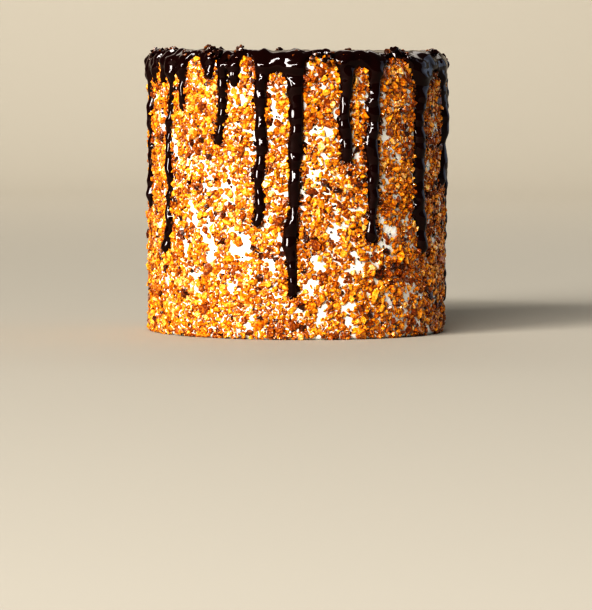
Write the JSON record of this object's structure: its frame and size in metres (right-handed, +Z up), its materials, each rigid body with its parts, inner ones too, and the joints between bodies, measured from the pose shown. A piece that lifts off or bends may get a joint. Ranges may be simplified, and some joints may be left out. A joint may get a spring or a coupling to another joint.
{
  "type": "chocolate drip cake",
  "caption": "Tall round uncut cake, its cream-coated side covered in praline crumbs, with dark chocolate poured over the top and running down in drips.",
  "frame": {"origin": "middle of the cake's flat underside", "axes": "+Z up through the cake's middle; -Y is the side with the longest drip"},
  "size_m": [0.1677, 0.1679, 0.157],
  "materials": {
    "praline_coat": "rough crumbs of caramelised nut pressed into white cream",
    "dark_chocolate": "wet-looking gloss over small lumps"
  },
  "bodies": {
    "root": {"cake": "praline_coat", "chocolate": "dark_chocolate"}
  },
  "joints": []
}
